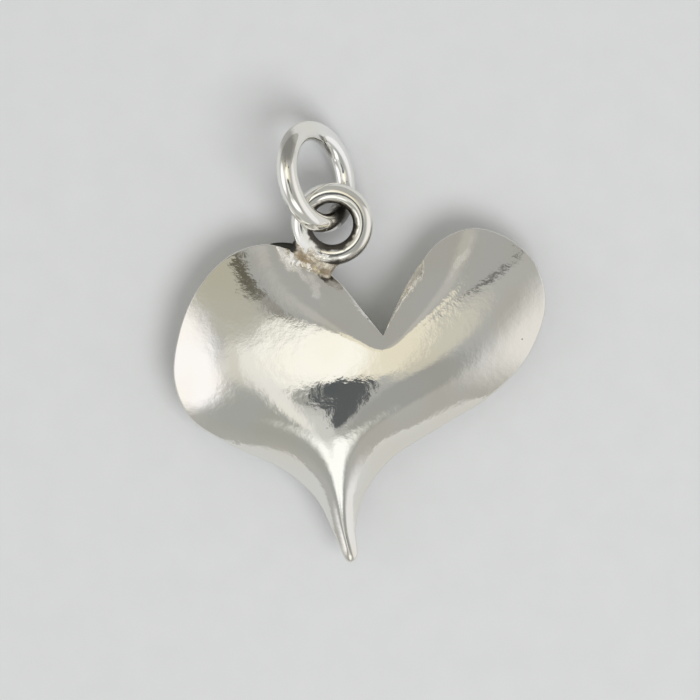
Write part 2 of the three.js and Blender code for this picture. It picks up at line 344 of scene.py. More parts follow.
def with_height(points, height):
    """Adds a height to points in the plane."""
    return np.concatenate([points, np.broadcast_to(height, points.shape[:-1])[..., None]], axis=-1)


# %% [markdown]
# ## From arrays to meshes
# Each shape arrives as a grid of points: rows and columns, either of which may close on itself. Its quads are
# worked out as one array of numbers. Points that coincide, such as those along an arm or at a pole, are
# merged, which closes the skin. The volume that it holds is printed, and its sign says that faces look out.

# %% Faces and volume of a grid
def grid_faces(rows, columns, close_rows=False, close_columns=False):
    """Corner numbers of the quads of a grid."""
    row = np.arange(rows if close_rows else rows - 1)[:, None]
    column = np.arange(columns if close_columns else columns - 1)[None]
    next_row, next_column = (row + 1) % rows, (column + 1) % columns
    corners = [row * columns + column, next_row * columns + column,
               next_row * columns + next_column, row * columns + next_column]
    return np.stack([np.broadcast_to(c, (row.size, column.size)) for c in corners], axis=-1).reshape(-1, 4)


def held_volume(points, quads):
    """Volume inside a closed skin: for its triangles, a sixth of corner times (corner cross corner)."""
    a, b, c, d = (points[quads[:, i]] for i in range(4))
    return float((np.cross(a, b) * c).sum() + (np.cross(a, c) * d).sum()) / 6


# %% From grids to a piece
same_point = 1e-7


def in_scene(name, data):
    """A new object with this mesh, lamp or camera, linked to the scene."""
    thing = bpy.data.objects.new(name, data)
    bpy.context.scene.collection.objects.link(thing)
    return thing


def make_piece(name, grids, body, node, sharp_angle=60):
    """A mesh object from (points in drawn millimetres, faces) pairs, merged, smooth, riding on its body."""
    points, faces, first = [], [], 0
    volumes = [held_volume(grid_points.reshape(-1, 3), quads) for grid_points, quads in grids]
    for grid_points, quads in grids:
        grid_points = grid_points.reshape(-1, 3)
        points.append(grid_points)
        faces.append(quads + first)
        first += len(grid_points)
    points = (np.vstack(points) + [*shift, 0]) * METRES
    mesh = bpy.data.meshes.new(name)
    mesh.from_pydata(points.tolist(), [], np.vstack(faces).tolist())
    built = bmesh.new()
    built.from_mesh(mesh)
    bmesh.ops.remove_doubles(built, verts=built.verts, dist=same_point)
    loose_edges = sum(not edge.is_manifold for edge in built.edges)
    built.to_mesh(mesh)
    built.free()
    mesh.polygons.foreach_set("use_smooth", np.ones(len(mesh.polygons), bool))
    mesh.set_sharp_from_angle(angle=math.radians(sharp_angle))
    piece = in_scene(name, mesh)
    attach(piece, body)
    if node:
        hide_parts(node)
    mesh.calc_loop_triangles()
    held = ", ".join(f"{volume:.3f}" for volume in volumes)
    print(f"{name}: {len(mesh.loop_triangles)} triangles, holds {held} mm3, {loose_edges} open edges")
    return piece


# %% Waves for ripples and lumps
def waves(x, y, length, seed, count=24):
    """Plane waves of one length and random direction and phase, added up to a spread of about one."""
    random = np.random.default_rng(seed)
    turns, phases = random.uniform(0, 2 * np.pi, (2, count))
    rate = 2 * np.pi / length
    total = 0.0
    for turn, phase in zip(turns, phases):
        total = total + np.sin(rate * (x * np.cos(turn) + y * np.sin(turn)) + phase)
    return total / math.sqrt(count / 2)


def all_waves(x, y, kinds):
    """Several kinds of waves added up, each given by its height, its length and its seed."""
    return sum(height * waves(x, y, length, seed) for height, length, seed in kinds)


# %% [markdown]
# ## The front
# The real front is one piece of sheet, pressed into a die and polished by hand, which leaves long, very low
# ripples. They don't show as bumps, but they bend the edges of every reflection. The shell is closed: the
# outside runs from the arms out to the edge, down its lip, and back in along the inside. A Solidify modifier
# could thicken the sheet too, but its inside would cross itself in the narrow tail.

# %% Ripples of the polish
polish_ripples = ((0.001, 2.6, 3), (0.0004, 1.1, 5))
ripples_full_at = 0.6


def ripples(x, y, distance):
    """Long and short waves, which fade out towards the edge."""
    return np.clip(distance / ripples_full_at, 0, 1) * all_waves(x, y, polish_ripples)


# %% Rows of a closed shell
inside_rows = np.linspace(0, 1, 12)
wall_rows = (0.02, 0.06, 0.35, 0.7, 0.97, 1)
halvings = 18


def inside_start(form, edge, sign, outer, inner):
    """Share of the way in at which the inside of a shell crosses the plane of its edge, by halving. Where the
    sheet fills the shell, as at the tip of the tail, it is the whole way."""
    low, high = np.zeros(len(outer)), np.ones(len(outer))
    for _ in range(halvings):
        share = (low + high) / 2
        x, y = along_columns(outer, inner, share[None])[0].T
        inside = form(x, y, inset(x, y)) - sign * upright_sheet(form, x, y)
        beyond = sign * (inside - edge) > 0
        low, high = np.where(beyond, low, share), np.where(beyond, share, high)
    return np.where(high > 0.999, 1.0, high)


def shell_rows(height, form, edge, sign, outer, inner, ripple):
    """All rows of a closed shell, its outside at a height and its inside one sheet under a form. Sign is 1
    for the front, which bulges up, and -1 for the back."""
    flat = along_columns(outer, inner, outside_rows)
    x, y = flat[..., 0], flat[..., 1]
    distance = inset(x, y)
    distance[-1] = 0
    skin = height(x, y, distance) - sign * rounding(distance) + ripple(x, y, distance)
    outside = with_height(flat, skin)
    lip_top = outside[-1, :, 2]
    lip = np.stack([with_height(outer, lip_top + (edge - lip_top) * share) for share in wall_rows])
    start = inside_start(form, edge, sign, outer, inner)
    inward = start[None] + (1 - start)[None] * inside_rows[:, None]
    flat = along_columns(outer, inner, inward)
    x, y = flat[..., 0], flat[..., 1]
    hollow = form(x, y, inset(x, y)) - sign * upright_sheet(form, x, y)
    hollow = np.where(sign * (hollow - edge) > 0, hollow, edge)
    hollow[0] = edge
    return np.concatenate([outside, lip, with_height(flat, hollow)])


# %% Front shell
front_points = shell_rows(front_height, front_form, front_edge, 1, outer_ends, inner_ends, ripples)
front_faces = grid_faces(*front_points.shape[:2], close_columns=True)
front = make_piece("front_shell_skin", [(front_points, front_faces)], "heart", "front_shell")

# %% [markdown]
# ## The back
# The back is made the same way, upside down, and has a small vent hole. Without it the hot gas would burst
# the seam while it is soldered. A Boolean could cut the hole, but leaves long thin faces. Here the columns
# end on the hole's edge, and its wall joins the outside to the inside there.

# %% Back shell
vent_radius = 0.4
ripples_end_over = 0.5


def back_ripples(x, y, distance):
    """The same ripples, but only on the slope, so that the flat middle stays flat."""
    return ripples(x, y, distance) * np.clip((back_bend - distance) / ripples_end_over, 0, 1)


back_outer, back_inner, on_vent = heart_columns(vent_radius)
back_points = shell_rows(back_height, back_height, back_edge, -1, back_outer, back_inner, back_ripples)
rows, columns = back_points.shape[:2]
back_faces = grid_faces(rows, columns, close_columns=True)[:, ::-1]
vent_column = np.flatnonzero(on_vent & np.roll(on_vent, -1))
vent_next = (vent_column + 1) % columns
last = (rows - 1) * columns
vent_faces = np.stack([last + vent_column, last + vent_next, vent_next, vent_column], axis=1)
back = make_piece("back_shell_skin", [(back_points, np.vstack([back_faces, vent_faces]))],
                  "heart", "back_shell")

# %% [markdown]
# ## The seam
# The two halves are joined by a hair of solder, filed flush and polished over. It is a thin band round the
# heart, which stands out by about a hundredth of a millimetre. A bevelled curve would be round like a cord,
# so a flat profile is carried round on the grid's own columns, which keeps it between the two edges.

# %% Seam solder
seam_depth = 0.45
seam_bulge = 0.012
seam_height = front_edge - back_edge
to_arm = np.linalg.norm(inner_ends - outer_ends, axis=1)
seam_inward = np.minimum(seam_depth / to_arm, 0.9)
seam_proud = -seam_bulge / to_arm
seam_profile = [(seam_inward, 0), (0 * to_arm, 0), (seam_proud * 0.8, 0.25), (seam_proud, 0.5),
                (seam_proud * 0.8, 0.75), (0 * to_arm, 1), (seam_inward, 1)]
seam_points = np.stack([
    with_height(along_columns(outer_ends, inner_ends, share[None])[0], back_edge + seam_height * up)
    for share, up in seam_profile
])
seam_faces = grid_faces(len(seam_profile), len(outer_ends), close_rows=True, close_columns=True)[:, ::-1]
seam = make_piece("seam_solder_band", [(seam_points, seam_faces)], "heart", "seam_solder")

# %% [markdown]
# ## The soldered ring
# A closed ring of round wire is a torus: a small circle carried round a large one. Its middle, its radius and
# the wire come from the CAD node's box. Blender's own torus would do for it, but this helper takes the wire's
# radius at every turn, and so it can also make the ring that is cut open.

# %% Soldered ring
ring_steps, wire_steps = 256, 64
wire_radius = (ring_high[2] - ring_low[2]) / 2
ring_middle = (ring_low + ring_high) / 2 - [*shift, 0]
ring_radius = (ring_high[0] - ring_low[0]) / 2 - wire_radius


def carry_circle(middle_point, first, second, radius, turns, wire_radii):
    """A wire's circle carried round a ring: middle + (radius + w cos v) (cos u, sin u) in the ring's plane
    + w sin v along its axis, where w is the wire's radius at that turn."""
    axis = np.cross(first, second)
    around = np.linspace(0, 2 * np.pi, wire_steps, endpoint=False)[None, :, None]
    turns, wire_radii = turns[:, None, None], wire_radii[:, None, None]
    out = np.cos(turns) * first + np.sin(turns) * second
    return middle_point + out * (radius + wire_radii * np.cos(around)) + axis * wire_radii * np.sin(around)


east, north, up_axis = np.eye(3)
ring_turns = np.linspace(0, 2 * np.pi, ring_steps, endpoint=False)
ring_radii = np.full(ring_steps, wire_radius)
ring_points = carry_circle(ring_middle, east, north, ring_radius, ring_turns, ring_radii)
ring_faces = grid_faces(ring_steps, wire_steps, close_rows=True, close_columns=True)
ring = make_piece("bail_ring_wire", [(ring_points, ring_faces)], "heart", "bail_ring")

# %% [markdown]
# ## The loose ring
# The loose ring is cut open with a saw, so that it can be twisted apart and closed again. Its wire runs
# round from one face of the cut to the other. The circle shrinks to a point at both ends, which closes it,
# and a small step in just before that is the filed edge. The mount on it gives its middle and its axis.

# %% Place and size of the loose ring
saw_cut, filed_edge = 0.1, 0.03
saw_cut_turn = math.radians(-122)
eye = next(mount for mount in frame["record"]["mounts"] if mount["name"] == "loose_ring_eye")
loose_middle = np.array(eye["pos_m"]) / METRES - [*shift, 0]
loose_axis = np.array(eye["axis"]) / np.linalg.norm(eye["axis"])
loose_long = np.cross(up_axis, loose_axis)
loose_long /= np.linalg.norm(loose_long)
loose_short = np.cross(loose_axis, loose_long)
lean_sine = math.hypot(*loose_axis[:2])
loose_radius = ((loose_high[2] - loose_low[2]) / 2 - wire_radius) / lean_sine

# %% Wire of the loose ring
half_cut = saw_cut / 2 / loose_radius
filed_turn = filed_edge / loose_radius
first_face, last_face = saw_cut_turn + half_cut, saw_cut_turn + 2 * math.pi - half_cut
turns = np.linspace(first_face + filed_turn, last_face - filed_turn, ring_steps)
turns = np.concatenate([[first_face] * 2, turns, [last_face] * 2])
radii = np.full(len(turns), wire_radius)
radii[[0, -1]] = 0
radii[[1, -2]] = wire_radius - filed_edge
loose_points = carry_circle(loose_middle, loose_long, loose_short, loose_radius, turns, radii)
loose_faces = grid_faces(len(turns), wire_steps, close_columns=True)
loose = make_piece("jump_ring_wire", [(loose_points, loose_faces)], "loose_ring", "jump_ring",
                   sharp_angle=40)
print("loose ring radius", round(loose_radius, 3), "mm, long axis", loose_long.round(3))

# %% [markdown]
# ## The solder under the ring
# Molten solder creeps into the corner between the ring and the shoulder and freezes in a hollow curve, thick
# where the two almost touch and drawn in at both ends. A Remesh could blend such shapes, but it would blur
# the ring as well. Here the solder's upper and lower skins are sheets of points between a line on the shell
# and a line on the wire.

# %% Where the solder sits
shoulder_length = stretch_starts[1]
seat_share = 0.37
seat_distance = shoulder_length * seat_share
look_ahead = 0.01


def outline_way(distance):
    """Points at these distances along the outline, and the way in which it runs on there."""
    here, ahead = outline_at(distance), outline_at(distance + look_ahead)
    return here, (ahead - here) / np.linalg.norm(ahead - here, axis=-1, keepdims=True)


seat, seat_along = outline_way(seat_distance)
seat_out = np.array([seat_along[1], -seat_along[0]])
seat_angle = math.atan2(-seat_out[1], -seat_out[0])
print("seat at", *seat.round(2), "facing", round(math.degrees(seat_angle)), "degrees")

# %% Plan of the solder
solder_right, solder_left = 1.34, 1.35
solder_lap, lap_narrowing = 0.22, 0.85
solder_waist = 0.12
wire_reach_right, wire_reach_left = math.radians(50), math.radians(41)
wire_cover = 0.42
lengthwise = np.linspace(-1, 1, 121)
crosswise = np.linspace(0, 1, 57)


def fillet_plan():
    """Lines from the shoulder to the wire. The shoulder's end lies a lap inside the outline. The wire's end
    lies on the ring's middle circle, and further out towards both ends. The ends are drawn in halfway."""
    along = seat_distance + lengthwise * np.where(lengthwise < 0, solder_right, solder_left)
    edge, way = outline_way(along)
    inward = np.stack([-way[:, 1], way[:, 0]], axis=1)
    on_shell = edge + inward * (solder_lap * np.sqrt(1 - lap_narrowing * lengthwise**2))[:, None]
    angle = seat_angle - lengthwise * np.where(lengthwise < 0, wire_reach_right, wire_reach_left)
    reach = (ring_radius + wire_cover * lengthwise**4)[:, None]
    on_wire = ring_middle[:2] + reach * np.stack([np.cos(angle), np.sin(angle)], axis=1)
    v = crosswise[None, :, None]
    plan = on_shell[:, None] * (1 - v) + on_wire[:, None] * v
    drawn_in = solder_waist * np.sign(lengthwise) * np.abs(lengthwise) ** 3
    return plan - seat_along * (drawn_in[:, None, None] * 4 * v * (1 - v))


# %% Upper and lower skin of the solder
solder_skin, shell_cover = 0.012, 0.01
top_sag = ring_middle[2] + 0.36
underside_sag = 1.5
fillet_lumps = ((0.012, 0.7, 11), (0.003, 0.24, 13))

plan = fillet_plan()
fillet_x, fillet_y = plan[..., 0], plan[..., 1]
shell_line = fillet_x[:, :1], fillet_y[:, :1]
shell_top = front_height(*shell_line, inset(*shell_line)) + shell_cover
shell_bottom = back_height(*shell_line, inset(*shell_line)) - shell_cover
from_wire = np.abs(np.linalg.norm(plan - ring_middle[:2], axis=-1) - ring_radius)
wire_half = np.sqrt(np.maximum(wire_radius**2 - from_wire**2, 0))
lumps = all_waves(fillet_x, fillet_y, fillet_lumps)


def sagging(start, low, end):
    """Quadratic Bezier curve over the crosswise shares: (1-v)^2 start + 2v(1-v) low + v^2 end."""
    v = crosswise[None]
    return (1 - v) ** 2 * start + 2 * v * (1 - v) * low + v**2 * end


wire_end = wire_half[:, -1:] + solder_skin
top = sagging(shell_top, top_sag, ring_middle[2] + wire_end)
top = np.maximum(top, np.where(wire_half > 0, ring_middle[2] + wire_half + solder_skin, 0))
bottom = sagging(shell_bottom, underside_sag, ring_middle[2] - wire_end)
core = (top + bottom) / 2
closing = np.sqrt(1 - lengthwise**4)[:, None]
fillet_top = with_height(plan, core + (top - core) * closing + lumps * closing)
fillet_bottom = with_height(plan, core + (bottom - core) * closing + lumps[::-1] * closing)
fillet_points = np.concatenate([fillet_top, fillet_bottom[:, ::-1]], axis=1)
fillet_faces = grid_faces(*fillet_points.shape[:2], close_columns=True)[:, ::-1]
print("solder up to", top.max().round(2), "and down to", bottom.min().round(2), "mm above the floor")

# %% [markdown]
# ## Where the solder ran
# A thin tongue, tinted near black, lies along the edge near the ring, and some solder ran over the shoulder
# and froze there in a lumpy puddle. Both could be sculpted. Worked out from the outline and from the height
# of the front, they lie closely on the metal, and the puddle's underside stays within the sheet.

# %% Solder tongue
tongue_start, tongue_length, tongue_radius = 0.85, 1.4, 0.23
tongue_taper, tongue_round_end = 0.8, 0.125
tongue_out, tongue_up = 0.7, 0.02
tongue_steps, tongue_sides = 48, 24


def tongue_points():
    """A tapering drop just outside the outline: circles whose radius falls as (1 - share) to the power of the
    taper, with a round near end."""
    share = np.linspace(0, 1, tongue_steps)
    along, way = outline_way(seat_distance + tongue_start + tongue_length * share)
    outward = np.stack([way[:, 1], -way[:, 0]], axis=1)[:, None]
    near_end = np.sqrt(1 - np.maximum(1 - share / tongue_round_end, 0) ** 2)
    radius = tongue_radius * (1 - share) ** tongue_taper * near_end
    around = np.linspace(0, 2 * np.pi, tongue_sides, endpoint=False)
    circles = along[:, None] + outward * (radius[:, None] * (tongue_out + np.cos(around)))[..., None]
    return with_height(circles, front_edge + tongue_up + radius[:, None] * np.sin(around))


tongue = tongue_points()
tongue_faces = grid_faces(*tongue.shape[:2], close_columns=True)
solder = make_piece("bail_solder_fillet", [(fillet_points, fillet_faces), (tongue, tongue_faces)],
                    "heart", "bail_solder")

# %% Solder puddle
puddle_middle = (-2.7, 4.5)
puddle_turn = math.radians(-33)
puddle_length, puddle_width = 0.86, 0.27
puddle_rise, puddle_depth = 0.004, 0.07
puddle_lumps = ((0.034, 0.42, 17), (0.008, 0.2, 19))
puddle_rings, puddle_sides = 44, 180


def puddle_points():
    """Rings of points from the puddle's middle to its rim, an ellipse times one plus three sines. The top
    stands above the shell by a little plus lumps, and the underside lies in the sheet."""
    share = np.linspace(0, 1, puddle_rings)[:, None]
    around = np.linspace(0, 2 * np.pi, puddle_sides, endpoint=False)[None]
    rim = 1 + 0.14 * np.sin(3 * around + 1) + 0.1 * np.sin(5 * around + 4) + 0.07 * np.sin(11 * around)
    along = puddle_length * share * rim * np.cos(around)
    across = puddle_width * share * rim * np.sin(around)
    x = puddle_middle[0] + along * math.cos(puddle_turn) - across * math.sin(puddle_turn)
    y = puddle_middle[1] + along * math.sin(puddle_turn) + across * math.cos(puddle_turn)
    ground = front_height(x, y, inset(x, y))
    within = 1 - share**2
    flat = np.stack([x, y], axis=-1)
    top = with_height(flat, ground + (puddle_rise + all_waves(x, y, puddle_lumps)) * within)
    underside = with_height(flat, ground - puddle_depth * within)
    return np.concatenate([top, underside[::-1]])


puddle_grid = puddle_points()
puddle_faces = grid_faces(*puddle_grid.shape[:2], close_columns=True)
puddle = make_piece("solder_puddle", [(puddle_grid, puddle_faces)], "heart", None)

# %% [markdown]
# ## Finishes
# Polished silver is a mirror with small faults: a haze that comes and goes, fine ripples left by the
# polishing wheel, hairline scratches, a few pits and the dull smears of a cloth. Painted images would blur
# close by, so the patterns are made of nodes. They read Object coordinates, turned into millimetres, and stay
# on the metal. The colour of the metal is the tint of its reflections.

# %% Node helpers
def add(tree, kind, settings=None, inputs=None):
    """Adds a node. Settings are its own properties. An input is set to a value or linked to a socket."""
    node = tree.nodes.new(kind)
    for name, value in (settings or {}).items():
        setattr(node, name, value)
    for key, value in (inputs or {}).items():
        if isinstance(value, bpy.types.NodeSocket):
            tree.links.new(value, node.inputs[key])
        else:
            node.inputs[key].default_value = value
    return node


def in_millimetres(tree, stretched=(1, 1, 1), turn=0.0, centre=(0, 0, 0)):
    """Object coordinates in millimetres from a centre, stretched and turned about the upright axis."""
    place = add(tree, "ShaderNodeTexCoord").outputs["Object"]
    scale = [s / METRES for s in stretched]
    moved = [-c * s for c, s in zip(centre, stretched)]
    settings = {"Vector": place, "Scale": scale, "Rotation": (0, 0, turn), "Location": moved}
    return add(tree, "ShaderNodeMapping", inputs=settings).outputs["Vector"]


def noise(tree, place, scale, detail=2.0, rough=0.5, distortion=0.0):
    """Smooth random field, so many features to the millimetre."""
    return add(tree, "ShaderNodeTexNoise", inputs={
        "Vector": place, "Scale": scale, "Detail": detail, "Roughness": rough, "Distortion": distortion,
    }).outputs["Fac"]


def ramp(tree, value, low, high, to_low=0.0, to_high=1.0):
    """Smooth step from one value to another while the input goes from low to high."""
    return add(tree, "ShaderNodeMapRange", {"interpolation_type": "SMOOTHSTEP"}, {
        "Value": value, "From Min": low, "From Max": high, "To Min": to_low, "To Max": to_high,
    }).outputs["Result"]


def maths(tree, operation, *values):
    """One arithmetic step."""
    return add(tree, "ShaderNodeMath", {"operation": operation}, dict(enumerate(values))).outputs[0]


def plus(tree, value, extra, weight):
    """A value plus another one times a weight."""
    return maths(tree, "ADD", value, maths(tree, "MULTIPLY", extra, weight))


def length_of(tree, vector):
    """The length of a vector."""
    return add(tree, "ShaderNodeVectorMath", {"operation": "LENGTH"}, {0: vector}).outputs["Value"]


def oval(tree, place, centre, half_sizes, turn):
    """Distance from the middle of a turned oval, counted so that it is 1 on its rim. Height hardly counts."""
    own = add(tree, "ShaderNodeMapping", {"vector_type": "TEXTURE"}, {
        "Vector": place, "Location": (*centre, 0), "Rotation": (0, 0, math.radians(turn)),
        "Scale": (*half_sizes, 100),
    }).outputs[0]
    return length_of(tree, own)


def mixed(tree, share, first, second):
    """Mixes two colours by a share."""
    node = add(tree, "ShaderNodeMix", {"data_type": "RGBA"}, {0: share, 6: first, 7: second})
    return node.outputs[2]


def bumped(tree, height, depth, normal=None):
    """Bends the surface by a height field, so many metres deep."""
    inputs = {"Height": height, "Distance": depth, "Strength": 1.0}
    if normal:
        inputs["Normal"] = normal
    return add(tree, "ShaderNodeBump", inputs=inputs).outputs["Normal"]


def new_finish(name, metallic):
    """A new material, its node tree and its shader."""
    material = bpy.data.materials.new(name)
    material.use_nodes = True
    shader = material.node_tree.nodes["Principled BSDF"]
    shader.inputs["Metallic"].default_value = metallic
    return material, material.node_tree, shader


# %% Scratches and pits
def scratches(tree, turn, seed_place):
    """Hairlines: noise stretched forty times along one way, of which only the highest crests count."""
    place = in_millimetres(tree, (0.35, 14, 14), turn, seed_place)
    return ramp(tree, noise(tree, place, 1.0, 1.0), 0.72, 0.8)


def pits(tree, scale, size, share):
    """Small round pits: the middles of random cells, of which only a share is kept."""
    cells = add(tree, "ShaderNodeTexVoronoi", inputs={"Vector": in_millimetres(tree), "Scale": scale})
    kept = add(tree, "ShaderNodeSeparateColor", inputs={"Color": cells.outputs["Color"]}).outputs[0]
    near = ramp(tree, cells.outputs["Distance"], size * scale, 0.3 * size * scale)
    return maths(tree, "MULTIPLY", near, maths(tree, "LESS_THAN", kept, share))


# %% Smears of a cloth
smears = [
    # east, north, half length, half width, turn in degrees
    (5.5, 4.5, 1.6, 0.25, 57), (-2.2, 3.5, 1.5, 0.22, -50), (-1.75, 3.1, 1.2, 0.3, -62),
    (-3.3, 4.55, 0.7, 0.3, -60),
]
smear_fraying = 2.2


def wiping_smears(tree):
    """Dull streaks that a cloth left on the polish: ragged ovals."""
    place = in_millimetres(tree)
    random = maths(tree, "SUBTRACT", noise(tree, place, 1.6, 2.0, 0.5), 0.5)
    total = 0.0
    for x, y, half_length, half_width, turn in smears:
        away = oval(tree, place, (x + shift[0], y + shift[1]), (half_length, half_width), turn)
        away = plus(tree, away, random, smear_fraying)
        total = maths(tree, "MAXIMUM", total, ramp(tree, away, 1.1, 0.1))
    return total


# %% Polished silver
scratch_haze, pit_haze, dull_haze, tarnish_and_shade_haze = 0.12, 0.3, 0.6, 0.35
scratch_depth, pit_depth = 2e-7, 1.2e-5
warmer = (0.985, 0.965, 0.92)
pit_dirt = (0.16, 0.14, 0.12, 1)
# Near black of tarnish and of painted shade.
tarnish_and_shade_black = (0.06, 0.048, 0.038, 1)


def silver(name, colour, haze=(0.05, 0.11), ripple=9e-6, worn=1.0, tarnish_and_shade=None, dull_and_highlight=None, matt=0.0):
    """Polished silver. Haze is its range of roughness, ripple the depth of the fine ripples and worn the
    weight of scratches and pits. One function gives a mask of dark tarnish and painted shade, another one of
    whitish dullness and painted highlight, and matt says how white and rough the latter is."""
    material, tree, shader = new_finish(name, 1.0)
    place = in_millimetres(tree)

    lines = maths(tree, "MAXIMUM", scratches(tree, 0.5, (3, 7, 1)), scratches(tree, -0.9, (11, 5, 2)))
    lines = maths(tree, "MULTIPLY", lines, worn)
    holes = pits(tree, 1.15, 0.06, 0.5)
    rough = ramp(tree, noise(tree, place, 0.35, 3.0), 0.35, 0.7, *haze)
    rough = plus(tree, plus(tree, rough, lines, scratch_haze), holes, pit_haze)

    warm = tuple(c * k for c, k in zip(colour, warmer))
    tint = mixed(tree, ramp(tree, noise(tree, place, 0.22, 2.0), 0.4, 0.65), (*colour, 1), (*warm, 1))
    tint = mixed(tree, maths(tree, "MULTIPLY", holes, 0.75), tint, pit_dirt)
    # Whitish dullness of cloth smears, and a painted highlight.
    if dull_and_highlight:
        mask = dull_and_highlight(tree)
        rough = plus(tree, rough, mask, dull_haze * matt)
        tree.links.new(ramp(tree, mask, 0.0, 1.0, 1.0, 1 - matt), shader.inputs["Metallic"])
    # Dark tarnish and painted shade.
    if tarnish_and_shade:
        mask = tarnish_and_shade(tree)
        tint = mixed(tree, mask, tint, tarnish_and_shade_black)
        rough = plus(tree, rough, mask, tarnish_and_shade_haze)

    normal = bumped(tree, noise(tree, place, 2.2, 3.0, 0.55), ripple)
    normal = bumped(tree, lines, scratch_depth, normal)
    normal = bumped(tree, maths(tree, "MULTIPLY", holes, -1.0), pit_depth, normal)
    tree.links.new(tint, shader.inputs["Base Color"])
    tree.links.new(rough, shader.inputs["Roughness"])
    tree.links.new(normal, shader.inputs["Normal"])
    return material


# %% [markdown]
# ## Tarnish, painted shade and solder
# Where the torch burnt the flux, a dark skin is left that the wheel can't reach, in the corner under the
# ring. The inner side of the ring's wire is darker too. Painted shade darkens the ring's outer side at the
# lower right and the loose ring where it passes under the soldered ring, and the loose ring is darker on its
# upper left. A painted highlight makes the ring's lower left whitish and matt. Vertex paint could hold such
# marks, but is only as fine as the mesh. So each mark is a distance from a place on the metal, with noise
# added to fray its limit. Solder itself is a duller, yellower alloy, frozen rough, with brown in its hollows.

# %% Marks round a place
level_only = (1, 1, 0)


def distance_from(tree, drawn, stretched=(1, 1, 1)):
    """Millimetres from a drawn place, counted more or less along each axis."""
    centre = np.array(drawn) + [*shift, 0]
    return length_of(tree, in_millimetres(tree, stretched, centre=centre))


def mark(tree, drawn, fraying, none_at, full_at, stretched=(1, 1, 1), scale=3.0):
    """A mask that goes from 0 to 1 between two distances from a drawn place. Noise with so many features to
    the millimetre is added to the distance and frays its limit."""
    random = maths(tree, "SUBTRACT", noise(tree, in_millimetres(tree), scale, 4.0), 0.5)
    distance = plus(tree, distance_from(tree, drawn, stretched), random, fraying)
    return ramp(tree, distance, none_at, full_at)


# %% Tarnish, painted shade and a painted highlight on the rings
seat_x, seat_y = seat
ring_x, ring_y, ring_z = ring_middle


def ring_tarnish_and_shade(tree):
    """Dark tarnish beside the solder, and darker on the inner side of the ring's wire. On its outer side at
    the lower right, its underside, the dark is painted shade."""
    beside = mark(tree, (seat_x + 1.15, seat_y - 0.2, ring_z), 0.7, 0.75, 0.35)
    inner = mark(tree, (ring_x - 0.04, ring_y - 0.12, 0), 0.6, 1.36, 1.16, level_only)
    # Painted shade on the wire's outer side at the lower right.
    outer = mark(tree, (ring_x - 0.1, ring_y + 0.45, 0), 0.3, 2.24, 2.44, level_only)
    lower_right = distance_from(tree, (ring_x + 1.1, ring_y - 1.7, 0), level_only)
    outer = maths(tree, "MULTIPLY", outer, ramp(tree, lower_right, 1.4, 0.9, 0.0, 0.65))
    darkest = maths(tree, "MAXIMUM", outer, maths(tree, "MAXIMUM", beside, inner))
    return maths(tree, "MULTIPLY", darkest, 0.93)


def ring_painted_highlight(tree):
    """A painted highlight: the ring's lower left, where the solder runs up its wire, turns whitish and matt.
    """
    return mark(tree, (ring_x - 1.1, ring_y - 0.85, ring_z + 0.3), 0.6, 0.95, 0.45, scale=2.0)


def loose_shade_and_dark_patch(tree):
    """Painted shade where the loose ring passes under the soldered ring, and a darker patch on its upper
    left.
    """
    # Painted shade under the soldered ring.
    under = mark(tree, (-0.4, 6.7, 1.2), 0.5, 0.95, 0.55, (1, 1, 0.5))
    upper = maths(tree, "MULTIPLY", mark(tree, (-3.12, 10.3, 0), 0.5, 0.95, 0.4, (1.9, 0.75, 0)), 0.55)
    return maths(tree, "MULTIPLY", maths(tree, "MAXIMUM", under, upper), 0.85)


# %% Frozen solder
def solder_finish():
    """Rough alloy, silvery on the wire, beige with brown hollows near the shell, black along the tongue."""
    material, tree, shader = new_finish("frozen_solder", 0.8)
    place = in_millimetres(tree)
    coarse = noise(tree, place, 1.9, 3.0, 0.5)
    fine = noise(tree, place, 6.0, 2.0, 0.5)
    tint = mixed(tree, ramp(tree, coarse, 0.38, 0.6), (0.5, 0.41, 0.3, 1), (0.86, 0.79, 0.68, 1))
    off_wire = mark(tree, (ring_x, ring_y, 0), 0.6, 1.55, 1.95, level_only, 1.8)
    tint = mixed(tree, off_wire, (0.96, 0.94, 0.9, 1), tint)
    tint = mixed(tree, ramp(tree, fine, 0.34, 0.5, 0.3, 0.0), tint, (0.16, 0.12, 0.08, 1))
    # The tongue is tinted near black.
    on_tongue = mark(tree, (-3.3, 5.22, front_edge), 0.3, 0.62, 0.4, (0.7, 1, 0.4))
    tint = mixed(tree, on_tongue, tint, (0.035, 0.035, 0.03, 1))
    tree.links.new(tint, shader.inputs["Base Color"])
    tree.links.new(ramp(tree, coarse, 0.35, 0.65, 0.38, 0.24), shader.inputs["Roughness"])
    normal = bumped(tree, coarse, 2.5e-5)
    tree.links.new(bumped(tree, fine, 5e-6, normal), shader.inputs["Normal"])
    return material


def frozen_puddle_finish():
    """Solder that froze in bright white lumps, with beige between them."""
    material, tree, shader = new_finish("frozen_puddle", 1.0)
    coarse = noise(tree, in_millimetres(tree), 2.6, 2.0, 0.5)
    tint = mixed(tree, ramp(tree, coarse, 0.36, 0.5), (0.66, 0.58, 0.46, 1), (0.98, 0.965, 0.93, 1))
    tree.links.new(ramp(tree, coarse, 0.4, 0.52, 0.8, 0.12), shader.inputs["Metallic"])
    tree.links.new(tint, shader.inputs["Base Color"])
    tree.links.new(ramp(tree, coarse, 0.35, 0.65, 0.36, 0.2), shader.inputs["Roughness"])
    return material


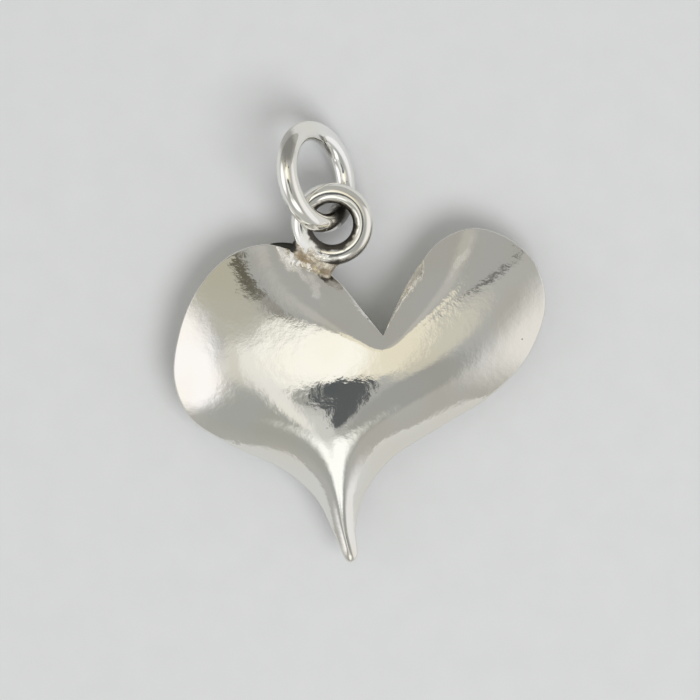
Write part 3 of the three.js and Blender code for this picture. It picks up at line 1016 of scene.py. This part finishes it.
# %% Give each piece its finish
silver_tint = (0.87, 0.855, 0.82)
drawn_wire = {"colour": (0.96, 0.955, 0.94), "haze": (0.04, 0.08), "ripple": 3e-6}
finishes = {
    front: silver("polished_front", silver_tint, worn=0.45, dull_and_highlight=wiping_smears, matt=0.3),
    back: silver("rubbed_back", (0.84, 0.825, 0.79), haze=(0.1, 0.22), worn=2.0),
    seam: silver("filed_seam", (0.76, 0.745, 0.7), haze=(0.2, 0.32), worn=2.0),
    ring: silver("drawn_wire_soldered", **drawn_wire, tarnish_and_shade=ring_tarnish_and_shade, dull_and_highlight=ring_painted_highlight, matt=0.5),
    loose: silver("drawn_wire_loose", **drawn_wire, tarnish_and_shade=loose_shade_and_dark_patch),
    solder: solder_finish(),
    puddle: frozen_puddle_finish(),
}
for piece, finish in finishes.items():
    piece.data.materials.append(finish)
print("finishes:", ", ".join(finish.name for finish in finishes.values()))

# %% [markdown]
# ## Floor, light and camera
# Silver shows only what stands round it, so the light is the picture. Small jewellery is photographed in a
# tent of white cloth with cards in it and one opening above for the lens. Glowing planes could be its cards,
# but would stand before the camera in other views. So the tent is the world: soft oval cards, each placed by
# how many degrees it lies east and north of straight up. A card's colour is given as it shows in the silver.
# One soft lamp, which the metal doesn't mirror, adds the shadow on the floor.

# %% Floor
floor_mesh = bpy.data.meshes.new("floor")
half_floor = 1.5
floor_mesh.from_pydata([(x * half_floor, y * half_floor, 0) for x, y in ((-1, -1), (1, -1), (1, 1), (-1, 1))],
                       [], [(0, 1, 2, 3)])
floor = in_scene("floor", floor_mesh)

paper, paper_tree, paper_shader = new_finish("pale_paper", 0.0)
paper_shader.inputs["Roughness"].default_value = 0.85
paper_shader.inputs["Specular IOR Level"].default_value = 0.1
paper_cloud = noise(paper_tree, in_millimetres(paper_tree), 0.6, 4.0)
paper_tint = mixed(paper_tree, paper_cloud, (0.64, 0.65, 0.66, 1), (0.68, 0.69, 0.70, 1))
paper_tree.links.new(paper_tint, paper_shader.inputs["Base Color"])
floor_mesh.materials.append(paper)
print("floor", 2 * half_floor, "m wide")

# %% Cards of the tent
tent_cloth = (171, 170, 164)
cards = [
    # name, degrees east and north of straight up, half width and height, turn, softness, colour in the silver
    ("west sheet", -60, -3, 21, 34, 0, 0.35, (252, 249, 246)),
    ("west glow", -22, 9, 15, 14, 0, 0.4, (230, 227, 218)),
    ("west fold", -31.5, 9, 3.5, 15, 0, 0.7, (208, 205, 192)),
    ("north-west shade", -28, 28, 16, 8, 0, 0.5, (183, 181, 167)),
    ("east sheet", 72, -12, 27, 52, 8, 0.4, (226, 224, 220)),
    ("south-east card", 24, -22, 16, 27, 18, 0.2, (155, 155, 150)),
    ("south-west card", -33, -40, 14, 36, -8, 0.45, (160, 161, 155)),
    ("lamp cloth's fall-off", 15, 13, 9, 10, 0, 0.5, (198, 194, 178)),
    ("lamp cloth's side", 3, 19, 10.5, 14, 15, 0.2, (226, 219, 197)),
    ("lamp cloth", -8, 16, 10.5, 12, 0, 0.4, (250, 247, 234)),
    ("south window", -1, -45, 27, 15, 0, 0.3, (254, 254, 247)),
    ("south shade", -10, -22, 9, 17, 0, 0.5, (200, 199, 192)),
    ("south-west gap", -20, -14, 5, 22, 0, 0.5, (226, 224, 216)),
    ("north wall", 6, 81, 130, 54, 0, 0.03, (163, 162, 156)),
    ("lamp cloth's haze", -4, 38, 6, 8, 25, 0.6, (178, 176, 168)),
    ("lamp cloth's peak", 2.5, 28.6, 5.8, 4.2, 8, 0.3, (226, 219, 197)),
    ("north-west shade's top", -31, 31, 13, 6, 0, 0.4, (176, 173, 158)),
    ("north-west fold", -21.5, 36.8, 6, 2.5, -8, 0.4, (98, 95, 82)),
    ("fold's tail", -15, 30.5, 1.8, 4.5, 25, 0.6, (138, 136, 126)),
    ("wall's edge", 19.5, 27.2, 7, 0.9, 6, 0.35, (92, 90, 85)),
    ("lens's fringe", -12, 0.5, 3.2, 3.5, 0, 0.5, (160, 160, 152)),
    ("lens", -2.5, 1.5, 8, 5, 0, 0.15, (84, 87, 87)),
    ("lens hood", 0, -8.5, 5.5, 13, 0, 0.2, (88, 90, 90)),
]


def card_light(colour):
    """The light that a card gives off so that the silver shows this colour: the colour's share of full light,
    divided by the silver's tint."""
    shown = np.array(colour) / 255
    linear = np.where(shown <= 0.04045, shown / 12.92, ((shown + 0.055) / 1.055) ** 2.4)
    return (*(linear / silver_tint), 1)


# %% Hang the cards
world = bpy.data.worlds.new("light_tent")
bpy.context.scene.world = world
world.use_nodes = True
tent = world.node_tree
way = add(tent, "ShaderNodeTexCoord").outputs["Generated"]
height = add(tent, "ShaderNodeSeparateXYZ", inputs={0: way}).outputs["Z"]
from_zenith = maths(tent, "DEGREES", maths(tent, "ARCCOSINE", height))
level = add(tent, "ShaderNodeVectorMath", {"operation": "MULTIPLY"}, {0: way, 1: (1, 1, 0)}).outputs[0]
level = add(tent, "ShaderNodeVectorMath", {"operation": "NORMALIZE"}, {0: level}).outputs[0]
spot = add(tent, "ShaderNodeVectorMath", {"operation": "SCALE"}, {0: level, "Scale": from_zenith}).outputs[0]

light = card_light(tent_cloth)
for _, *centre, half_width, half_height, turn, soft, colour in cards:
    away = oval(tent, spot, centre, (half_width, half_height), turn)
    light = mixed(tent, ramp(tent, away, 1 + soft, 1 - soft), light, card_light(colour))
background = tent.nodes["Background"]
tent.links.new(light, background.inputs["Color"])
print(len(cards), "cards in the tent")

# %% Lamp, camera and picture settings
lamp_data = bpy.data.lights.new("soft_lamp", "AREA")
lamp_data.shape = "DISK"
lamp_data.size = 0.5
lamp_data.energy = 3.0
lamp = in_scene("soft_lamp", lamp_data)
lamp.location = (0.28, -0.34, 0.62)
lamp.rotation_euler = (-lamp.location).to_track_quat("-Z", "Y").to_euler()
lamp.visible_glossy = False

picture_pixels = 700
pixels_per_mm = 20
camera_distance = 0.6
camera_data = bpy.data.cameras.new("camera")
camera_data.sensor_width = 36
field = picture_pixels / pixels_per_mm * METRES
camera_data.lens = camera_data.sensor_width * camera_distance / field
camera_data.clip_start = 0.01
camera = in_scene("camera", camera_data)
camera.location = (shift[0] * METRES, shift[1] * METRES, back_edge * METRES + camera_distance)
bpy.context.scene.camera = camera
bpy.context.scene.view_settings.view_transform = "Standard"
print("lens", round(camera_data.lens, 1), "mm for a field of", field, "m")
